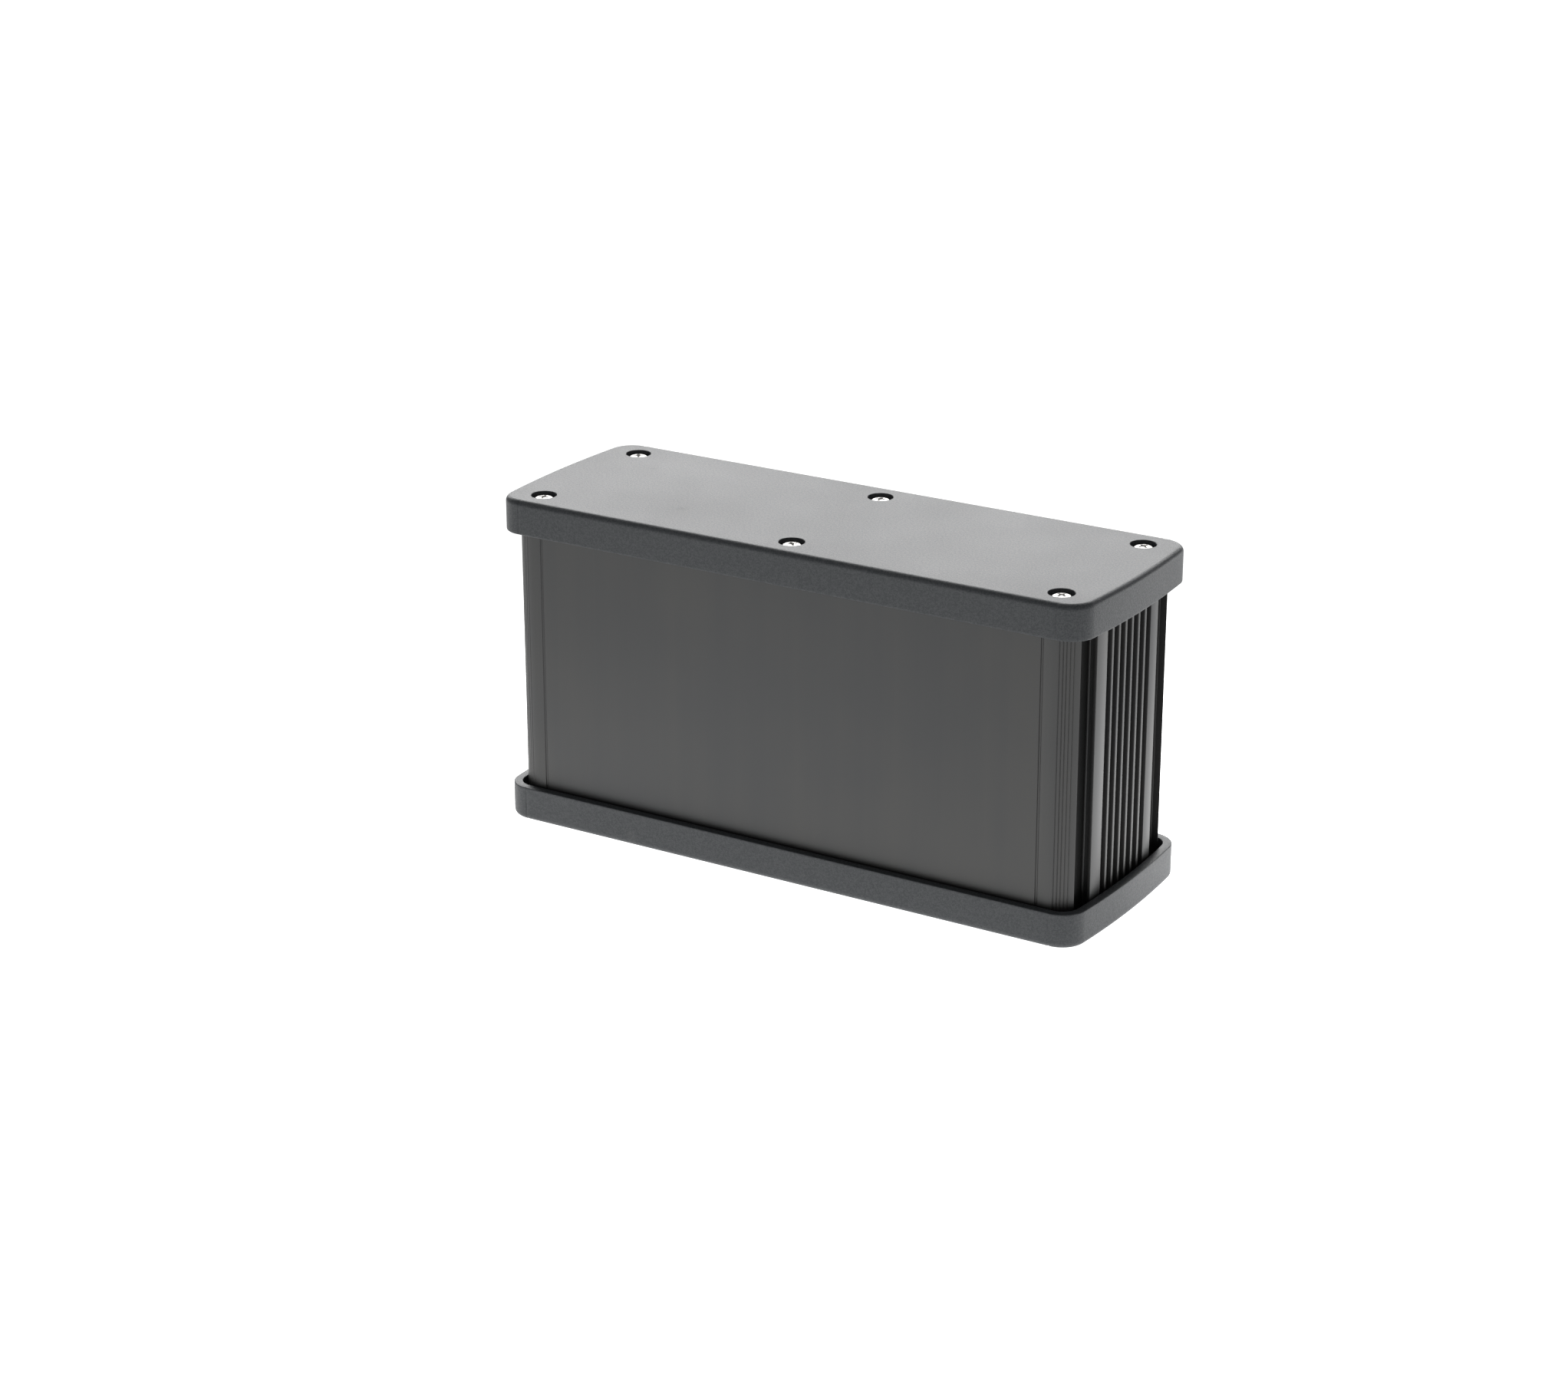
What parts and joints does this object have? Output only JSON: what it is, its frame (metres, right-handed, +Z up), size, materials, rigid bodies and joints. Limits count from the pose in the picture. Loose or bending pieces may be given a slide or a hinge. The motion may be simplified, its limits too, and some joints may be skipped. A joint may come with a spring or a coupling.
{
  "type": "battery box",
  "caption": "Oblong battery box: a dark extruded aluminium case with finned narrow ends, closed top and bottom by moulded covers held by recessed pan-head screws.",
  "frame": {"origin": "middle of the footprint, on the outer face of the bottom cover", "axes": "+X along the length, +Y from the front towards the back, +Z up through the top cover"},
  "size_m": [0.199, 0.069, 0.1026],
  "materials": {
    "case_anodised": "dark grey anodised, satin, with fine lines along the extrusion",
    "cover_moulding": "dark blue-grey moulded plastic with a fine sand texture",
    "screw_steel": "bright plain stainless steel",
    "gasket_rubber": "matte black",
    "seal_rubber": "matte black"
  },
  "bodies": {
    "bottom_cover": {"bottom_cover": "cover_moulding", "bottom_gasket": "gasket_rubber"},
    "case": {"case_body": "case_anodised"},
    "top_cover": {"top_cover": "cover_moulding", "top_gasket": "gasket_rubber"},
    "top_screw_seal_1": {"top_screw_seal_1": "seal_rubber"},
    "top_screw_1": {"top_screw_1": "screw_steel"},
    "top_screw_seal_2": {"top_screw_seal_2": "seal_rubber"},
    "top_screw_2": {"top_screw_2": "screw_steel"},
    "top_screw_seal_3": {"top_screw_seal_3": "seal_rubber"},
    "top_screw_3": {"top_screw_3": "screw_steel"},
    "top_screw_seal_4": {"top_screw_seal_4": "seal_rubber"},
    "top_screw_4": {"top_screw_4": "screw_steel"},
    "top_screw_seal_5": {"top_screw_seal_5": "seal_rubber"},
    "top_screw_5": {"top_screw_5": "screw_steel"},
    "top_screw_seal_6": {"top_screw_seal_6": "seal_rubber"},
    "top_screw_6": {"top_screw_6": "screw_steel"},
    "bottom_screw_seal_1": {"bottom_screw_seal_1": "seal_rubber"},
    "bottom_screw_1": {"bottom_screw_1": "screw_steel"},
    "bottom_screw_seal_2": {"bottom_screw_seal_2": "seal_rubber"},
    "bottom_screw_2": {"bottom_screw_2": "screw_steel"},
    "bottom_screw_seal_3": {"bottom_screw_seal_3": "seal_rubber"},
    "bottom_screw_3": {"bottom_screw_3": "screw_steel"},
    "bottom_screw_seal_4": {"bottom_screw_seal_4": "seal_rubber"},
    "bottom_screw_4": {"bottom_screw_4": "screw_steel"},
    "bottom_screw_seal_5": {"bottom_screw_seal_5": "seal_rubber"},
    "bottom_screw_5": {"bottom_screw_5": "screw_steel"},
    "bottom_screw_seal_6": {"bottom_screw_seal_6": "seal_rubber"},
    "bottom_screw_6": {"bottom_screw_6": "screw_steel"}
  },
  "joints": [
    {"name": "case_lift", "type": "slide", "parent": "bottom_cover", "child": "case", "axis": [0, 0, 1], "range_m": [0, 0.03]},
    {"name": "top_cover_lift", "type": "slide", "parent": "case", "child": "top_cover", "axis": [0, 0, 1], "range_m": [0, 0.03]},
    {"name": "top_screw_1_rise", "type": "slide", "parent": "top_cover", "child": "top_screw_seal_1", "axis": [0, 0, 1], "range_m": [0, 0.008]},
    {"name": "top_screw_1_turn", "type": "hinge", "parent": "top_screw_seal_1", "child": "top_screw_1", "pos_m": [-0.087, -0.02535, 0.1021], "axis": [0, 0, 1], "range_deg": [0, 5761]},
    {"name": "top_screw_2_rise", "type": "slide", "parent": "top_cover", "child": "top_screw_seal_2", "axis": [0, 0, 1], "range_m": [0, 0.008]},
    {"name": "top_screw_2_turn", "type": "hinge", "parent": "top_screw_seal_2", "child": "top_screw_2", "pos_m": [0, -0.02535, 0.1021], "axis": [0, 0, 1], "range_deg": [0, 5761]},
    {"name": "top_screw_3_rise", "type": "slide", "parent": "top_cover", "child": "top_screw_seal_3", "axis": [0, 0, 1], "range_m": [0, 0.008]},
    {"name": "top_screw_3_turn", "type": "hinge", "parent": "top_screw_seal_3", "child": "top_screw_3", "pos_m": [0.087, -0.02535, 0.1021], "axis": [0, 0, 1], "range_deg": [0, 5761]},
    {"name": "top_screw_4_rise", "type": "slide", "parent": "top_cover", "child": "top_screw_seal_4", "axis": [0, 0, 1], "range_m": [0, 0.008]},
    {"name": "top_screw_4_turn", "type": "hinge", "parent": "top_screw_seal_4", "child": "top_screw_4", "pos_m": [-0.087, 0.02535, 0.1021], "axis": [0, 0, 1], "range_deg": [0, 5761]},
    {"name": "top_screw_5_rise", "type": "slide", "parent": "top_cover", "child": "top_screw_seal_5", "axis": [0, 0, 1], "range_m": [0, 0.008]},
    {"name": "top_screw_5_turn", "type": "hinge", "parent": "top_screw_seal_5", "child": "top_screw_5", "pos_m": [0, 0.02535, 0.1021], "axis": [0, 0, 1], "range_deg": [0, 5761]},
    {"name": "top_screw_6_rise", "type": "slide", "parent": "top_cover", "child": "top_screw_seal_6", "axis": [0, 0, 1], "range_m": [0, 0.008]},
    {"name": "top_screw_6_turn", "type": "hinge", "parent": "top_screw_seal_6", "child": "top_screw_6", "pos_m": [0.087, 0.02535, 0.1021], "axis": [0, 0, 1], "range_deg": [0, 5761]},
    {"name": "bottom_screw_1_rise", "type": "slide", "parent": "bottom_cover", "child": "bottom_screw_seal_1", "axis": [0, 0, -1], "range_m": [0, 0.008]},
    {"name": "bottom_screw_1_turn", "type": "hinge", "parent": "bottom_screw_seal_1", "child": "bottom_screw_1", "pos_m": [-0.087, -0.02535, 0.0005], "axis": [0, 0, -1], "range_deg": [0, 5761]},
    {"name": "bottom_screw_2_rise", "type": "slide", "parent": "bottom_cover", "child": "bottom_screw_seal_2", "axis": [0, 0, -1], "range_m": [0, 0.008]},
    {"name": "bottom_screw_2_turn", "type": "hinge", "parent": "bottom_screw_seal_2", "child": "bottom_screw_2", "pos_m": [0, -0.02535, 0.0005], "axis": [0, 0, -1], "range_deg": [0, 5761]},
    {"name": "bottom_screw_3_rise", "type": "slide", "parent": "bottom_cover", "child": "bottom_screw_seal_3", "axis": [0, 0, -1], "range_m": [0, 0.008]},
    {"name": "bottom_screw_3_turn", "type": "hinge", "parent": "bottom_screw_seal_3", "child": "bottom_screw_3", "pos_m": [0.087, -0.02535, 0.0005], "axis": [0, 0, -1], "range_deg": [0, 5761]},
    {"name": "bottom_screw_4_rise", "type": "slide", "parent": "bottom_cover", "child": "bottom_screw_seal_4", "axis": [0, 0, -1], "range_m": [0, 0.008]},
    {"name": "bottom_screw_4_turn", "type": "hinge", "parent": "bottom_screw_seal_4", "child": "bottom_screw_4", "pos_m": [-0.087, 0.02535, 0.0005], "axis": [0, 0, -1], "range_deg": [0, 5761]},
    {"name": "bottom_screw_5_rise", "type": "slide", "parent": "bottom_cover", "child": "bottom_screw_seal_5", "axis": [0, 0, -1], "range_m": [0, 0.008]},
    {"name": "bottom_screw_5_turn", "type": "hinge", "parent": "bottom_screw_seal_5", "child": "bottom_screw_5", "pos_m": [0, 0.02535, 0.0005], "axis": [0, 0, -1], "range_deg": [0, 5761]},
    {"name": "bottom_screw_6_rise", "type": "slide", "parent": "bottom_cover", "child": "bottom_screw_seal_6", "axis": [0, 0, -1], "range_m": [0, 0.008]},
    {"name": "bottom_screw_6_turn", "type": "hinge", "parent": "bottom_screw_seal_6", "child": "bottom_screw_6", "pos_m": [0.087, 0.02535, 0.0005], "axis": [0, 0, -1], "range_deg": [0, 5761]}
  ],
  "couplings": [
    {"joint": "top_screw_1_turn", "follows": "top_screw_1_rise", "rad_per_m": 12566},
    {"joint": "top_screw_2_turn", "follows": "top_screw_2_rise", "rad_per_m": 12566},
    {"joint": "top_screw_3_turn", "follows": "top_screw_3_rise", "rad_per_m": 12566},
    {"joint": "top_screw_4_turn", "follows": "top_screw_4_rise", "rad_per_m": 12566},
    {"joint": "top_screw_5_turn", "follows": "top_screw_5_rise", "rad_per_m": 12566},
    {"joint": "top_screw_6_turn", "follows": "top_screw_6_rise", "rad_per_m": 12566},
    {"joint": "bottom_screw_1_turn", "follows": "bottom_screw_1_rise", "rad_per_m": 12566},
    {"joint": "bottom_screw_2_turn", "follows": "bottom_screw_2_rise", "rad_per_m": 12566},
    {"joint": "bottom_screw_3_turn", "follows": "bottom_screw_3_rise", "rad_per_m": 12566},
    {"joint": "bottom_screw_4_turn", "follows": "bottom_screw_4_rise", "rad_per_m": 12566},
    {"joint": "bottom_screw_5_turn", "follows": "bottom_screw_5_rise", "rad_per_m": 12566},
    {"joint": "bottom_screw_6_turn", "follows": "bottom_screw_6_rise", "rad_per_m": 12566}
  ]
}
